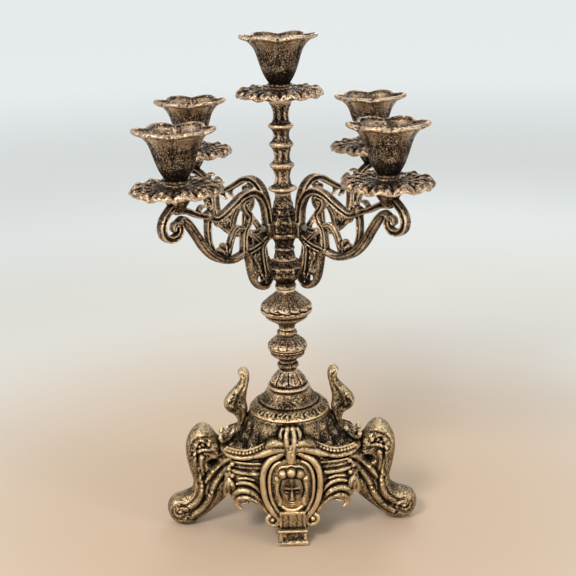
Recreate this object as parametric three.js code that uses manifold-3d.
// Five-light cast candelabrum: an oblong scroll-footed base, a bell cap, a
// stack of turned knops on a tie rod, an octagonal hub that carries four
// openwork arms, and a turned stem with the fifth light on top.
// Millimetres, +Z up, the front of the base faces -Y, origin on the standing
// plane at the centre of the base.
import * as THREE from 'three';
import { mergeVertices } from 'three/addons/utils/BufferGeometryUtils.js';
import Module from 'manifold-3d';

const wasm = await Module();
wasm.setup();

// ---------------------------------------------------------------- dimensions
const GAP = 0.3;              // joint line left between two castings

const ARM_REACH = 105.3;      // tie rod axis to a side light's axis
const ARM_ANGLES = { front_left: 225, front_right: 315, back_right: 45, back_left: 135 };
const ARM_PLATE = 7.0;        // thickness of the openwork
const BAR_FLESH = 0.35;       // added to every bar's half width
const POST_TOP = 298.6;       // seat of a side light
const STEM_TOP = 354.6;       // seat of the top light
const POST_R = 9.8;
const POST_FOOT_R = 4.2;
const POST_HEIGHT = 11.0;

const CUP_RIM_R = 30.0;       // petal tips
const CUP_NOTCH = 0.86;       // radius at a notch over radius at a tip
const CUP_SOCKET_R = 11.5;    // takes a 22 mm taper candle
const CUP_FOOT_H = 10.0;      // underside of the cup above the light's seat
const CUP_FLOOR_H = 23.4;     // candle seat above the light's seat
const SCREW_SEAT_H = 20.1;    // counterbore for the cup screw's head
const SCREW_HEAD_R = 3.6;
const CUP_RIM_H = 48.8;
const PAN_R = 34.0;
const PAN_LOBES = 12;

const ROD_R = 3.0;            // M6 tie rod
const ROD_BORE_R = 3.4;
const ROD_BOTTOM = 86.0;
const ROD_TOP = 318.0;
const SCREW_R = 1.8;          // M4 cup screw, plain shank
const SCREW_BORE_R = 2.15;
const ARM_SCREW_R = 1.5;
const ARM_SCREW_BORE_R = 1.85;
const ARM_SCREW_Z = 258.4;
const LUG_OUT = 20.3;         // outer face of an arm's lug

const HUB_APOTHEM = 14.3;     // flats of the arm block
const RING_APOTHEM = 16.3;    // flats of the lower ring

const BASE_TOP = 101.6;
const FLANGE_R = 32.8;
const CORNICE_X = 57.0;       // half length of the casket under the roof
const CORNICE_Y = 33.0;       // half depth of the casket
const CORNICE_Z = 73.0;
const CORNICE_RISE = 15.0;    // pediment rise at the middle of front and back
const SKIRT_Z = 40.0;
const WALL = 4.0;
const LEG_T = 25.0;           // width of a scroll leg across the base
const HORN_T = 10.0;
const CARTOUCHE_FRONT = 42.5; // furthest face of the cartouche from the axis
const PAD_X = 12.0;
const PAD_FRONT = 47.0;
const PAD_BACK = 34.0;
const PAD_H = 13.0;

// ---------------------------------------------------------------- materials
const finish = (name, color, roughness) => {
  const m = new THREE.MeshStandardMaterial({ color, roughness, metalness: 0.9 });
  m.name = name;
  return m;
};
const BRONZE_BASE = 0x8f7442;
const BRONZE_COLUMN = 0x7d6240;
const BRONZE_CUP = 0x765c3e;
const STEEL = 0x6e675c;

// ---------------------------------------------------------------- helpers
const rad = (d) => d * Math.PI / 180;

function clean(geometry) {
  const g = geometry.index ? geometry.clone() : geometry.clone();
  g.deleteAttribute('normal');
  g.deleteAttribute('uv');
  const m = mergeVertices(g, 1e-4);
  return m;
}

function toSolid(geometry) {
  const g = clean(geometry);
  const pos = g.attributes.position.array;
  const idx = g.index.array;
  const tri = [];
  for (let i = 0; i < idx.length; i += 3) {
    const [a, b, c] = [idx[i], idx[i + 1], idx[i + 2]];
    if (a !== b && b !== c && a !== c) tri.push(a, b, c);
  }
  // outward-facing winding
  let vol = 0;
  for (let i = 0; i < tri.length; i += 3) {
    const [a, b, c] = [tri[i] * 3, tri[i + 1] * 3, tri[i + 2] * 3];
    vol += pos[a] * (pos[b + 1] * pos[c + 2] - pos[b + 2] * pos[c + 1])
         - pos[a + 1] * (pos[b] * pos[c + 2] - pos[b + 2] * pos[c])
         + pos[a + 2] * (pos[b] * pos[c + 1] - pos[b + 1] * pos[c]);
  }
  if (vol < 0) for (let i = 0; i < tri.length; i += 3) [tri[i], tri[i + 1]] = [tri[i + 1], tri[i]];
  const mesh = new wasm.Mesh({
    numProp: 3, vertProperties: Float32Array.from(pos), triVerts: Uint32Array.from(tri),
  });
  mesh.merge();
  return new wasm.Manifold(mesh);
}

function fromSolid(solid) {
  const m = solid.getMesh();
  const g = new THREE.BufferGeometry();
  g.setAttribute('position', new THREE.BufferAttribute(Float32Array.from(m.vertProperties), 3));
  g.setIndex(Array.from(m.triVerts));
  g.computeVertexNormals();
  return g;
}

// turned form about Z; the profile is a list of [radius, height] and either
// runs from axis to axis or closes on itself
function turned(profile, segments, phase = 0) {
  const pts = profile.map(([r, z]) => new THREE.Vector2(r, z));
  const g = new THREE.LatheGeometry(pts, segments);
  g.rotateX(Math.PI / 2);
  g.rotateZ(phase);
  return g;
}
// a ring form: outer profile listed bottom to top, with a straight bore
function bored(outer, bore, segments, phase = 0) {
  const z0 = outer[0][1];
  const z1 = outer[outer.length - 1][1];
  return turned([[bore, z0], ...outer, [bore, z1], [bore, z0]], segments, phase);
}
// a flat-sided ring form with a round bore
function flatBored(outer, bore, sides, phase) {
  const z0 = outer[0][1];
  const z1 = outer[outer.length - 1][1];
  const body = toSolid(turned([[0, z0], ...outer, [0, z1]], sides, phase));
  return body.subtract(toSolid(rodAlongZ(bore, z0 - 1, z1 + 1, 16)));
}
function rodAlongZ(r, z0, z1, segments = 16) {
  return turned([[0, z0], [r, z0], [r, z1], [0, z1]], segments);
}
function smooth(points, step) {
  const curve = new THREE.CatmullRomCurve3(points.map(([x, y]) => new THREE.Vector3(x, y, 0)), false, 'centripetal');
  const n = Math.max(2, Math.round(curve.getLength() / step));
  return curve.getSpacedPoints(n).map((p) => [p.x, p.y]);
}
// outline of a bar that follows a path, with its half width eased along it
function bar(path, w0, w1, step = 5.0) {
  const p = smooth(path, step);
  const left = [];
  const right = [];
  for (let i = 0; i < p.length; i += 1) {
    const a = p[Math.max(0, i - 1)];
    const b = p[Math.min(p.length - 1, i + 1)];
    const dx = b[0] - a[0];
    const dy = b[1] - a[1];
    const l = Math.hypot(dx, dy);
    const w = w0 + (w1 - w0) * i / (p.length - 1);
    left.push([p[i][0] - dy / l * w, p[i][1] + dx / l * w]);
    right.unshift([p[i][0] + dy / l * w, p[i][1] - dx / l * w]);
  }
  return new wasm.CrossSection([[...right.reverse(), ...left.reverse()]], 'NonZero');
}
function disc(x, y, r, n = 8) {
  const ring = [];
  for (let i = 0; i < n; i += 1) ring.push([x + r * Math.cos(2 * Math.PI * i / n), y + r * Math.sin(2 * Math.PI * i / n)]);
  return new wasm.CrossSection([ring], 'NonZero');
}
function area2(poly) {
  let a = 0;
  for (let i = 0; i < poly.length; i += 1) {
    const [x0, y0] = poly[i];
    const [x1, y1] = poly[(i + 1) % poly.length];
    a += x0 * y1 - x1 * y0;
  }
  return a / 2;
}
// flat openwork from a 2D region in (x, z), centred on the y = 0 plane
function openwork(section, thickness) {
  const polys = section.toPolygons();
  const shapes = polys.filter((p) => area2(p) > 0).map((p) => {
    const s = new THREE.Shape(p.map(([x, y]) => new THREE.Vector2(x, y)));
    return s;
  });
  for (const h of polys.filter((p) => area2(p) < 0)) {
    const path = new THREE.Path(h.map(([x, y]) => new THREE.Vector2(x, y)));
    shapes[0].holes.push(path);
  }
  const g = new THREE.ExtrudeGeometry(shapes, { depth: thickness, bevelEnabled: false, steps: 1 });
  g.translate(0, 0, -thickness / 2);
  g.rotateX(Math.PI / 2);
  return g;
}
// solid plate with its arris stepped back on both faces
function profilePlate(points, thickness, step) {
  const outline = new wasm.CrossSection([points], 'NonZero').simplify(0.25);
  const core = toSolid(openwork(outline, thickness - 2 * step));
  const faces = toSolid(openwork(outline.offset(-step, 'Miter', 2.0).simplify(0.3), thickness));
  return core.add(faces);
}

const group = new THREE.Group();
function addPiece(name, geometry, color, roughness = 0.42) {
  const mesh = new THREE.Mesh(geometry, finish(name, color, roughness));
  mesh.name = name;
  group.add(mesh);
  return mesh;
}

// ---------------------------------------------------------------- base
// plan of the casket: a softened rectangle whose long faces run in X
function planRadius(t, ax, ay, n) {
  const c = Math.abs(Math.cos(t));
  const s = Math.abs(Math.sin(t));
  return 1 / Math.pow(Math.pow(c / ax, n) + Math.pow(s / ay, n), 1 / n);
}
function corniceHeight(x) {
  const k = Math.max(0, 1 - Math.abs(x) / 38);
  return CORNICE_Z + CORNICE_RISE * k * k * (3 - 2 * k);
}
function skirtHeight(x, y) {
  // a low arch either side of the cartouche
  if (Math.abs(y) < 12) return SKIRT_Z - 6;
  return SKIRT_Z - 8 + 6 * Math.cos((Math.min(1, Math.abs(Math.abs(x) - 34) / 20)) * Math.PI / 2);
}
function casket() {
  const SEG = 28;
  // ring kinds from the bore, over the roof, down the face and back inside
  const rings = [
    (t) => ({ r: ROD_BORE_R, z: BASE_TOP }),
    (t) => ({ r: FLANGE_R, z: BASE_TOP }),
    (t) => {
      const R = planRadius(t, CORNICE_X, CORNICE_Y, 3.2);
      const r = FLANGE_R + (R - FLANGE_R) * 0.28;
      const zc = corniceHeight(R * Math.cos(t));
      return { r: Math.max(r, 30), z: zc + 3 + (BASE_TOP - zc - 3) * 0.42 };
    },
    (t) => {
      const R = planRadius(t, CORNICE_X, CORNICE_Y, 3.2) - 2.0;
      return { r: R, z: corniceHeight(R * Math.cos(t)) + 3 };
    },
    (t) => {
      const R = planRadius(t, CORNICE_X, CORNICE_Y, 3.2) + 1.5;
      return { r: R, z: corniceHeight(R * Math.cos(t)) };
    },
    (t) => {
      const R = planRadius(t, CORNICE_X, CORNICE_Y, 3.2) - 2.0;
      return { r: R, z: corniceHeight(R * Math.cos(t)) - 6 };
    },
    (t) => {
      const R = planRadius(t, CORNICE_X, CORNICE_Y, 3.2) - 0.5;
      return { r: R, z: skirtHeight(R * Math.cos(t), R * Math.sin(t)) };
    },
    (t) => {
      const R = planRadius(t, CORNICE_X - WALL, CORNICE_Y - WALL, 3.2) - 0.5;
      return { r: R, z: skirtHeight(R * Math.cos(t), R * Math.sin(t)) };
    },
    (t) => {
      const R = planRadius(t, CORNICE_X - WALL, CORNICE_Y - WALL, 3.2) - 1.5;
      return { r: R, z: corniceHeight(R * Math.cos(t)) - 5 };
    },
    (t) => {
      const R = planRadius(t, CORNICE_X - WALL, CORNICE_Y - WALL, 3.2);
      const zc = corniceHeight(R * Math.cos(t));
      return { r: Math.max(24, FLANGE_R - WALL + (R - FLANGE_R + WALL) * 0.2), z: zc + (BASE_TOP - WALL - zc) * 0.5 };
    },
    (t) => ({ r: 22, z: BASE_TOP - WALL }),
    (t) => ({ r: ROD_BORE_R, z: BASE_TOP - WALL }),
    (t) => ({ r: ROD_BORE_R, z: BASE_TOP }),
  ];
  // a closed lathe ring whose vertices are then moved on to the casket's form
  const g = new THREE.LatheGeometry(rings.map((_, i) => new THREE.Vector2(10 + i, i)), SEG);
  const p = g.attributes.position;
  const n = rings.length;
  for (let s = 0; s <= SEG; s += 1) {
    const t = 2 * Math.PI * (s % SEG) / SEG;
    for (let i = 0; i < n; i += 1) {
      const { r, z } = rings[i](t);
      p.setXYZ(s * n + i, r * Math.cos(t), r * Math.sin(t), z);
    }
  }
  return toSolid(g);
}

const LEG = smooth([
  [50, 71], [57, 73.0], [61.5, 78.4], [66.5, 85.4], [73.0, 88.8], [79.6, 86.0], [85.2, 77.4],
  [87.0, 65.4], [84.8, 51.6], [82.2, 38], [84.5, 30.0], [93.4, 25.8], [101.8, 22.2], [105.2, 14.4],
  [101.6, 4.5], [94.5, 0.6],
], 9).concat([[93, 0], [86, 0]], smooth([[84, 0.8], [72, 9], [62.5, 17.5], [54, 26], [49, 36]], 9), [[46, 42], [46, 70]]);
const HORN = smooth([
  [44, 76], [38, 92], [34.5, 101.5], [36.2, 110.6], [34.2, 119.3], [32.4, 130.4], [33.2, 134.6], [36.8, 138],
  [41, 134.8], [39.2, 129.4], [41, 124.6], [46.6, 118.5], [53.4, 110.4], [52.2, 102.8], [44.6, 97.8], [42.3, 91],
  [46, 84.2], [54.6, 81.6], [55.2, 76.6],
], 8).concat([[53, 73]]);

function baseCasting() {
  let solid = casket();
  for (const side of [1, -1]) {
    const leg = profilePlate(LEG, LEG_T, 4.0);
    const horn = profilePlate(HORN, HORN_T, 1.8);
    const pair = leg.add(horn);
    solid = solid.add(side === 1 ? pair : pair.rotate([0, 0, 180]));
  }
  // cartouche, its volutes, the stepped neck and the pad foot, front and back
  const shield = [];
  for (let i = 0; i < 16; i += 1) {
    const t = 2 * Math.PI * i / 16;
    shield.push([22 * Math.cos(t) * (1 - 0.06 * Math.sin(t)), 45 + 27.5 * Math.sin(t)]);
  }
  const depth = CARTOUCHE_FRONT - (CORNICE_Y - WALL + 0.6);
  let front = profilePlate(shield, depth, 2.5).translate([0, -(CARTOUCHE_FRONT - depth / 2), 0]);
  for (const sx of [1, -1]) {
    const vol = turned([[0, -6], [6.4, -6], [6.4, 6], [0, 6]], 10);
    vol.rotateX(Math.PI / 2);
    vol.translate(sx * 15.4, -36.5, 21.5);
    front = front.add(toSolid(vol));
  }
  const neck = new THREE.BoxGeometry(19, 9, 16);
  neck.translate(0, -37.5, 19);
  const pad = new THREE.BoxGeometry(2 * PAD_X, PAD_FRONT - PAD_BACK, PAD_H);
  pad.translate(0, -(PAD_FRONT + PAD_BACK) / 2, PAD_H / 2);
  front = front.add(toSolid(neck)).add(toSolid(pad));
  solid = solid.add(front).add(front.rotate([0, 0, 180]));
  // the tie rod's hole stays clear
  return solid.subtract(toSolid(rodAlongZ(ROD_BORE_R, 80, 110))).simplify(0.05);
}
addPiece('base_casting', fromSolid(baseCasting()), BRONZE_BASE);

// ---------------------------------------------------------------- column
addPiece('bell_cap', fromSolid(toSolid(bored([
  [31.8, BASE_TOP + GAP], [32.8, 102.9], [32.6, 104.2], [27.4, 108.9], [25.6, 109.6],
  [22.8, 111.4], [19.4, 116.4], [17.6, 119.4], [16.4, 120.6],
], ROD_BORE_R, 22))), BRONZE_BASE);

addPiece('leaf_collar', fromSolid(toSolid(bored([
  [15.4, 120.9], [16.9, 122.0], [16.5, 123.6], [14.2, 126.6], [12.0, 129.4], [8.6, 134.6], [7.3, 136.3],
], ROD_BORE_R, 16))), BRONZE_COLUMN);

addPiece('lower_collar', fromSolid(toSolid(bored([
  [7.0, 136.6], [7.4, 138.0], [8.6, 139.2], [8.6, 141.4], [7.3, 142.8], [7.2, 144.2],
], ROD_BORE_R, 16))), BRONZE_COLUMN);

addPiece('knop_lower', fromSolid(toSolid(bored([
  [7.4, 144.5], [8.2, 146.2], [12.2, 147.6], [13.0, 149.4], [12.2, 151.0], [14.6, 153.6], [16.0, 156.8],
  [14.8, 160.0], [10.4, 164.0], [7.4, 165.6],
], ROD_BORE_R, 16))), BRONZE_COLUMN);

addPiece('mid_collar', fromSolid(toSolid(bored([
  [6.6, 165.9], [8.1, 167.2], [8.1, 169.2], [6.6, 170.5],
], ROD_BORE_R, 16))), BRONZE_COLUMN);

addPiece('knop_upper', fromSolid(toSolid(bored([
  [6.4, 170.8], [6.6, 174.2], [10.4, 177.6], [15.8, 180.6], [16.8, 183.0], [19.6, 186.2], [21.0, 189.4],
  [19.6, 192.4], [14.6, 197.0], [9.4, 200.6], [7.2, 203.8], [7.4, 205.0],
], ROD_BORE_R, 16))), BRONZE_COLUMN);

// ---------------------------------------------------------------- hub
const OCT = Math.PI / 8;
const corner = (apothem) => apothem / Math.cos(OCT);
{
  const neck = toSolid(bored([[8.2, 205.3], [7.9, 209.4], [9.4, 213.4], [9.6, 216.0]], ROD_BORE_R, 16));
  const ring = flatBored([
    [corner(10.2), 214.0], [corner(14.2), 216.2], [corner(RING_APOTHEM), 218.2], [corner(RING_APOTHEM), 225.4],
    [corner(12.4), 228.0], [corner(9.4), 229.0],
  ], ROD_BORE_R, 8, OCT);
  addPiece('hub_ring', fromSolid(neck.add(ring)), BRONZE_COLUMN);

  const waist = toSolid(bored([
    [8.8, 229.3], [7.6, 236.0], [7.5, 241.0], [9.6, 247.0], [10.4, 250.0],
  ], ROD_BORE_R, 16));
  const block = flatBored([
    [corner(10.8), 247.8], [corner(13.2), 249.2], [corner(HUB_APOTHEM), 250.2], [corner(HUB_APOTHEM), 262.0],
    [corner(11.2), 265.4], [corner(8.4), 269.6], [corner(7.0), 274.6],
  ], ROD_BORE_R, 8, OCT);
  const top = toSolid(bored([[6.9, 272.0], [7.0, 275.6], [6.2, 280.0], [6.4, 283.0]], ROD_BORE_R, 16));
  let hub = waist.add(block).add(top);
  for (const a of Object.values(ARM_ANGLES)) {
    const hole = rodAlongZ(ARM_SCREW_BORE_R, 8.0, 20.0, 12);
    hole.rotateY(Math.PI / 2);
    hole.translate(0, 0, ARM_SCREW_Z);
    hole.rotateZ(rad(a));
    hub = hub.subtract(toSolid(hole));
  }
  addPiece('hub_body', fromSolid(hub.simplify(0.03)), BRONZE_COLUMN);
}

// ---------------------------------------------------------------- stem
{
  const outer = [
    [6.6, 283.3], [8.2, 284.6], [11.2, 286.2], [10.8, 287.4], [6.6, 289.6], [5.8, 296.0],
    [7.0, 300.6], [9.2, 303.6], [9.2, 305.6], [7.0, 308.0], [5.8, 311.8], [7.0, 316.8],
    [9.2, 319.8], [9.2, 321.8], [7.0, 324.4], [5.7, 328.4], [7.2, 331.4], [9.5, 333.8],
    [9.5, 335.6], [7.0, 337.6], [5.6, 341.0], [6.2, 347.0], [8.3, 351.6], [8.7, STEM_TOP],
  ];
  let stem = toSolid(turned([[0, 283.3], ...outer, [0, STEM_TOP]], 16));
  stem = stem.subtract(toSolid(rodAlongZ(ROD_BORE_R, 280, ROD_TOP + 1.0, 16)));
  stem = stem.subtract(toSolid(rodAlongZ(SCREW_BORE_R, STEM_TOP - 13, STEM_TOP + 5, 12)));
  addPiece('stem', fromSolid(stem), BRONZE_COLUMN);
}

// ---------------------------------------------------------------- arms
// bars of the openwork, as [distance from the rod axis, height]
const ARM_BARS = [
  // outer volute under the light, wound down to its eye
  [[[112.4, 290], [118.8, 284.4], [121.0, 278.0], [119.0, 271.8], [113.2, 268.9], [107.2, 270.6], [105.0, 275.4], [107.4, 279.6]], 2.3, 1.9],
  // main ribbed sweep from the eye to the hub side
  [[[106.6, 279.4], [102.4, 281.0], [97.6, 277.2], [90.4, 267.4], [83.0, 256.4], [74.6, 248.4], [65.4, 243.6], [54.6, 241.4], [44.6, 243.4]], 2.5, 2.3],
  // bar from the post's foot to the knot
  [[[107.6, 288.4], [98.0, 286.8], [87.6, 281.4], [77.6, 278.0]], 2.2, 2.0],
  // strut from the knot down to the sweep
  [[[77.8, 278.0], [78.8, 267.4], [77.8, 258.4], [74.6, 250.6]], 1.9, 1.9],
  // great arch from the knot over to the hub
  [[[77.6, 278.0], [70.0, 275.6], [62.4, 277.8], [52.4, 283.0], [42.8, 288.2], [33.2, 289.0], [25.2, 284.6], [20.0, 276.6], [18.0, 267.0], [17.4, 260.0], [17.2, 253.6]], 2.0, 2.5],
  // inner S-scroll between the arch and the sweep
  [[[37.0, 282.6], [42.6, 281.4], [40.4, 276.6], [36.6, 271.4], [38.0, 266.0], [42.4, 260.6], [43.8, 252.4], [44.2, 244.4]], 1.8, 1.9],
  // leaf that closes the round opening
  [[[43.6, 263.0], [50.6, 264.0], [56.0, 257.6], [59.6, 247.4]], 1.9, 1.9],
  // tie from the sweep up to the hub block
  [[[44.6, 243.6], [33.0, 245.4], [25.6, 248.0], [18.4, 251.4]], 2.0, 1.9],
  // hanging scroll that bears on the lower ring, with its inner rib
  [[[43.6, 244.0], [39.8, 238.6], [38.2, 230.6], [34.8, 219.8], [27.4, 212.4], [20.0, 212.2]], 2.2, 2.2],
  [[[19.2, 251.6], [24.2, 244.0], [24.0, 234.6], [22.6, 226.4], [20.6, 219.6]], 1.9, 1.9],
];
function armSolid() {
  let section = null;
  for (const [path, w0, w1] of ARM_BARS) {
    const b = bar(path, w0 + BAR_FLESH, w1 + BAR_FLESH, 8.6);
    section = section ? section.add(b) : b;
  }
  section = section.add(disc(77.6, 279.4, 4.4)).add(disc(64.2, 248.6, 4.8)).add(disc(37.0, 283.4, 3.2));
  // web of the hanging scroll, with its two drop holes
  section = section.add(new wasm.CrossSection([[[24.0, 244.0], [36.0, 244.0], [37.0, 230.0], [33.0, 219.0], [26.0, 213.6], [22.0, 219.0], [24.0, 232.0]]], 'NonZero'));
  section = section.subtract(disc(31.4, 227.4, 1.8, 6)).subtract(disc(28.2, 219.4, 1.8, 6));
  // tab that reaches the lower ring's flat
  const inner = RING_APOTHEM + GAP;
  section = section.add(new wasm.CrossSection([[[inner, 223.0], [25.0, 223.0], [25.0, 215.0], [inner, 215.0]]], 'NonZero'));
  section = section.simplify(0.4);
  let arm = toSolid(openwork(section, ARM_PLATE));
  // lug that bears on the hub's flat
  const lugIn = HUB_APOTHEM + GAP;
  const lug = new THREE.BoxGeometry(LUG_OUT - lugIn + 2, 9.0, 12.4);
  lug.translate((LUG_OUT + lugIn - 2) / 2, 0, 256.0);
  arm = arm.add(toSolid(lug));
  // post that carries the light
  const post = turned([
    [0, POST_TOP - POST_HEIGHT], [POST_FOOT_R, POST_TOP - POST_HEIGHT], [5.2, POST_TOP - 6.6], [8.6, POST_TOP - 2.4],
    [POST_R, POST_TOP - 1.2], [POST_R, POST_TOP], [0, POST_TOP],
  ], 16);
  post.translate(ARM_REACH, 0, 0);
  arm = arm.add(toSolid(post));
  const hole = rodAlongZ(SCREW_BORE_R, POST_TOP - 13, POST_TOP + 5, 12);
  hole.translate(ARM_REACH, 0, 0);
  arm = arm.subtract(toSolid(hole));
  const across = rodAlongZ(ARM_SCREW_BORE_R, 10, 21.5, 12);
  across.rotateY(Math.PI / 2);
  across.translate(0, 0, ARM_SCREW_Z);
  arm = arm.subtract(toSolid(across));
  // the lug and the arch's foot are faced off flat against the hub
  const face = new THREE.BoxGeometry(20, 30, 40);
  face.translate(lugIn - 10, 0, 262);
  return arm.subtract(toSolid(face)).simplify(0.05);
}
function armScrewGeometry() {
  // cheese head against the lug's outer face
  const g = turned([
    [0, 9.0], [ARM_SCREW_R, 9.0], [ARM_SCREW_R, LUG_OUT + GAP], [2.6, LUG_OUT + GAP], [2.6, LUG_OUT + 2.4], [2.0, LUG_OUT + 2.9], [0, LUG_OUT + 2.9],
  ], 12);
  g.rotateY(Math.PI / 2);
  g.translate(0, 0, ARM_SCREW_Z);
  return g;
}
{
  const arm = armSolid();
  for (const [name, angle] of Object.entries(ARM_ANGLES)) {
    const mesh = addPiece(`arm_${name}`, fromSolid(arm), BRONZE_COLUMN);
    mesh.rotation.z = rad(angle);
    const screw = addPiece(`arm_screw_${name}`, fromSolid(toSolid(armScrewGeometry())), STEEL, 0.5);
    screw.rotation.z = rad(angle);
  }
}

// ---------------------------------------------------------------- lights
// six-petalled cup, heights counted from the light's seat
const LOBE = (t, k) => 1 - k * (0.5 - 0.5 * Math.cos(6 * t));
function cupSolid() {
  const SEG = 24;
  const H = CUP_FOOT_H;
  const rings = [
    [0, H, 0], [8.4, H, 0], [8.4, H + 4.2, 0.0], [13.4, H + 12.0, 0.05],
    [16.2, H + 22.4, 0.07], [19.6, H + 31.0, 0.10],
    [CUP_RIM_R, H + 36.0, 1 - CUP_NOTCH], [CUP_RIM_R - 1.6, CUP_RIM_H, 1 - CUP_NOTCH],
    [19.6, H + 36.0, 0.08], [13.6, H + 27.0, 0.02], [CUP_SOCKET_R, H + 19.0, 0],
    [10.0, CUP_FLOOR_H, 0], [0, CUP_FLOOR_H, 0],
  ];
  const g = new THREE.LatheGeometry(rings.map(([r, z]) => new THREE.Vector2(r, z)), SEG);
  const p = g.attributes.position;
  const n = rings.length;
  for (let s = 0; s <= SEG; s += 1) {
    const t = 2 * Math.PI * (s % SEG) / SEG;
    for (let i = 0; i < n; i += 1) {
      const [r, z, k] = rings[i];
      const q = r * LOBE(t, k);
      const lift = k > 0.12 ? -1.2 * (0.5 - 0.5 * Math.cos(6 * t)) : 0;
      p.setXYZ(s * n + i, q * Math.cos(t), q * Math.sin(t), z + lift);
    }
  }
  return toSolid(g)
    .subtract(toSolid(rodAlongZ(SCREW_BORE_R, H - 2, CUP_FLOOR_H + 2, 12)))
    .subtract(toSolid(rodAlongZ(SCREW_HEAD_R + GAP, SCREW_SEAT_H, CUP_FLOOR_H + 2, 12)));
}
function panSolid() {
  const SEG = 24;
  const rings = [
    [0, GAP], [9.8, GAP], [22.0, 3.2], [PAN_R, 5.2], [PAN_R, 6.9],
    [22.0, 6.0], [12.0, 6.4], [8.8, CUP_FOOT_H - GAP], [0, CUP_FOOT_H - GAP],
  ];
  const g = new THREE.LatheGeometry(rings.map(([r, z]) => new THREE.Vector2(r, z)), SEG);
  const p = g.attributes.position;
  const n = rings.length;
  for (let s = 0; s <= SEG; s += 1) {
    const t = 2 * Math.PI * (s % SEG) / SEG;
    const lobe = 0.5 - 0.5 * Math.cos(PAN_LOBES * t);
    for (let i = 0; i < n; i += 1) {
      const [r, z] = rings[i];
      const k = r > 31 ? 1 - 0.055 * lobe : 1;
      const drop = r > 31 ? -1.3 * lobe : 0;
      p.setXYZ(s * n + i, r * k * Math.cos(t), r * k * Math.sin(t), z + drop);
    }
  }
  return toSolid(g).subtract(toSolid(rodAlongZ(SCREW_BORE_R, -2, CUP_FOOT_H + 2, 12)));
}
function cupScrewGeometry() {
  return turned([
    [0, -12.0], [SCREW_R, -12.0], [SCREW_R, SCREW_SEAT_H + GAP], [SCREW_HEAD_R, SCREW_SEAT_H + GAP],
    [SCREW_HEAD_R, SCREW_SEAT_H + 2.2], [2.8, SCREW_SEAT_H + 2.9], [0, SCREW_SEAT_H + 2.9],
  ], 12);
}
{
  const cup = cupSolid();
  const pan = panSolid();
  const places = [['top', 0, 0, STEM_TOP, 0]];
  for (const [name, angle] of Object.entries(ARM_ANGLES)) {
    places.push([name, ARM_REACH * Math.cos(rad(angle)), ARM_REACH * Math.sin(rad(angle)), POST_TOP, 0]);
  }
  for (const [name, x, y, z, turn] of places) {
    const light = new THREE.Group();
    light.position.set(x, y, z);
    light.rotation.z = turn;
    for (const [kind, geo, color, rough] of [
      ['drip_pan', fromSolid(pan), BRONZE_CUP, 0.45],
      ['candle_cup', fromSolid(cup), BRONZE_CUP, 0.45],
      ['cup_screw', fromSolid(toSolid(cupScrewGeometry())), STEEL, 0.5],
    ]) {
      const mesh = new THREE.Mesh(geo, finish(`${kind}_${name}`, color, rough));
      mesh.name = `${kind}_${name}`;
      light.add(mesh);
    }
    group.add(light);
  }
}

// ---------------------------------------------------------------- tie rod
addPiece('tie_rod', fromSolid(toSolid(rodAlongZ(ROD_R, ROD_BOTTOM, ROD_TOP, 16))), STEEL, 0.5);
addPiece('base_washer', fromSolid(toSolid(bored([
  [9.0, BASE_TOP - WALL - GAP - 1.6], [9.0, BASE_TOP - WALL - GAP],
], ROD_BORE_R, 20))), STEEL, 0.5);
{
  const z1 = BASE_TOP - WALL - 2 * GAP - 1.6;
  addPiece('base_nut', fromSolid(flatBored([[5.77, z1 - 5.0], [5.77, z1]], ROD_BORE_R, 6, 0)), STEEL, 0.5);
}

group.updateMatrixWorld(true);
export default group;
